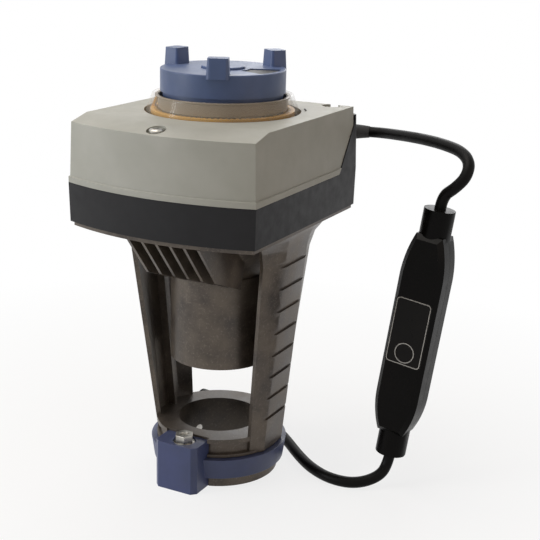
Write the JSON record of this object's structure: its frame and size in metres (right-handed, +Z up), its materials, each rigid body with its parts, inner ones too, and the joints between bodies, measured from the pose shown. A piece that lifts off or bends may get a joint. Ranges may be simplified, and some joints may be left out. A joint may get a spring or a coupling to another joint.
{
  "type": "electric valve actuator",
  "caption": "Motor-driven valve actuator with a cast yoke, neck clamp, two-part housing, dial with hand knob, and a lead with an in-line push-button controller.",
  "frame": {"origin": "stem axis at the underside of the neck ring, the plane that it stands on", "axes": "+Z up along the stem, -Y towards the curved front of the housing, +X towards the side with the in-line controller"},
  "size_m": [0.2086, 0.1825, 0.265],
  "materials": {
    "cast_aluminium": "as-cast, slightly dull",
    "dark_housing_plastic": "fine matt grain",
    "beige_housing_plastic": "fine matt grain",
    "seal_rubber": "smooth",
    "bright_steel": "zinc plated",
    "stem_steel": "turned",
    "plate_steel": "sheet",
    "bearing_bronze": "sintered bronze",
    "brass": "turned",
    "gear_plastic": "moulded acetal",
    "clear_lens": "clear, amber tint",
    "grey_plastic": "moulded",
    "yellow_plastic": "moulded",
    "blue_plastic": "satin",
    "dark_inlay": "satin",
    "shaft_plastic": "moulded",
    "blue_paint": "satin",
    "board_green": "solder mask",
    "terminal_plastic": "moulded",
    "black_rubber": "satin jacket",
    "black_plastic": "satin moulded",
    "label_film": "printed film",
    "contact_metal": "plated"
  },
  "bodies": {
    "frame": {"base_screws": "bright_steel", "blanking_plugs": "black_plastic", "board_posts": "grey_plastic", "board_screws": "bright_steel", "cable_bushing": "black_rubber", "circuit_board": "board_green", "clamp_band": "blue_paint", "clamp_bolt": "bright_steel", "clamp_nut": "bright_steel", "clamp_washer": "bright_steel", "controller_board": "board_green", "controller_front_shell": "black_plastic", "controller_label": "label_film", "controller_rear_shell": "black_plastic", "controller_screws": "bright_steel", "cover_gasket": "seal_rubber", "cover_screws": "bright_steel", "dial_plate": "grey_plastic", "end_switches": "terminal_plastic", "gear_plate": "plate_steel", "housing_base": "dark_housing_plastic", "housing_cover": "beige_housing_plastic", "indicator_lens": "clear_lens", "intermediate_axle": "bright_steel", "knob_spring": "bright_steel", "lead_lower": "black_rubber", "lead_upper": "black_rubber", "locating_pin": "bright_steel", "lower_bearing": "bearing_bronze", "motor_can": "plate_steel", "motor_screws": "bright_steel", "neck_ring": "cast_aluminium", "plate_pillars": "plate_steel", "plate_screws": "bright_steel", "plug_body": "black_plastic", "plug_pins": "contact_metal", "ring_drive_axle": "bright_steel", "stem_guide_bush": "bearing_bronze", "stem_skirt": "cast_aluminium", "terminal_block": "terminal_plastic", "upper_bearing": "bearing_bronze", "yoke_bracket": "cast_aluminium", "yoke_legs": "cast_aluminium"},
    "knob_slider": {"knob_thrust_ring": "grey_plastic"},
    "hand_knob": {"knob": "blue_plastic", "knob_cap": "blue_plastic", "knob_inlay": "dark_inlay", "knob_shaft": "shaft_plastic"},
    "drive_train": {"drive_nut": "brass", "drive_gear": "gear_plastic", "takeoff_gear": "gear_plastic"},
    "idler": {"intermediate_gear": "gear_plastic"},
    "motor_rotor": {"motor_pinion": "brass"},
    "ring_drive": {"ring_drive_gear": "gear_plastic"},
    "indicator": {"position_ring": "yellow_plastic"},
    "stem": {"drive_stem": "stem_steel", "stem_coupling": "stem_steel", "coupling_screws": "stem_steel"},
    "button": {"push_button": "black_plastic"}
  },
  "joints": [
    {"name": "knob_press", "type": "slide", "parent": "frame", "child": "knob_slider", "axis": [0, 0, -1], "range_m": [0, 0.003], "stiffness_N_per_m": 1200, "springref_m": -0.002, "deforming": ["knob_spring"]},
    {"name": "knob_turn", "type": "hinge", "parent": "knob_slider", "child": "hand_knob", "pos_m": [0, 0, 0.248], "axis": [0, 0, 1], "range_deg": [0, 3601]},
    {"name": "drive_turn", "type": "hinge", "parent": "frame", "child": "drive_train", "pos_m": [0, 0, 0.178], "axis": [0, 0, 1], "range_deg": [0, 3600]},
    {"name": "idler_turn", "type": "hinge", "parent": "frame", "child": "idler", "pos_m": [-0.02598, -0.015, 0.18], "axis": [0, 0, 1], "range_deg": [-14404, 0]},
    {"name": "motor_turn", "type": "hinge", "parent": "frame", "child": "motor_rotor", "pos_m": [-0.03188, -0.03702, 0.19], "axis": [0, 0, 1], "range_deg": [0, 54015]},
    {"name": "ring_drive_turn", "type": "hinge", "parent": "frame", "child": "ring_drive", "pos_m": [0.01643, 0.0309, 0.207], "axis": [0, 0, 1], "range_deg": [-1441, 0]},
    {"name": "indicator_turn", "type": "hinge", "parent": "frame", "child": "indicator", "pos_m": [0, 0, 0.229], "axis": [0, 0, 1], "range_deg": [-180.1, 0]},
    {"name": "stem_slide", "type": "slide", "parent": "frame", "child": "stem", "axis": [0, 0, -1], "range_m": [0, 0.04001]},
    {"name": "button_press", "type": "slide", "parent": "frame", "child": "button", "axis": [0.05, 0.9965, -0.0668], "range_m": [0, 0.0006], "stiffness_N_per_m": 800, "springref_m": -0.0006}
  ],
  "couplings": [
    {"joint": "knob_turn", "follows": "drive_turn", "ratio": 1},
    {"joint": "idler_turn", "follows": "drive_turn", "ratio": -4},
    {"joint": "motor_turn", "follows": "drive_turn", "ratio": 15},
    {"joint": "ring_drive_turn", "follows": "drive_turn", "ratio": -0.4},
    {"joint": "indicator_turn", "follows": "drive_turn", "ratio": -0.05},
    {"joint": "stem_slide", "follows": "drive_turn", "m_per_rad": 0.00063662}
  ]
}
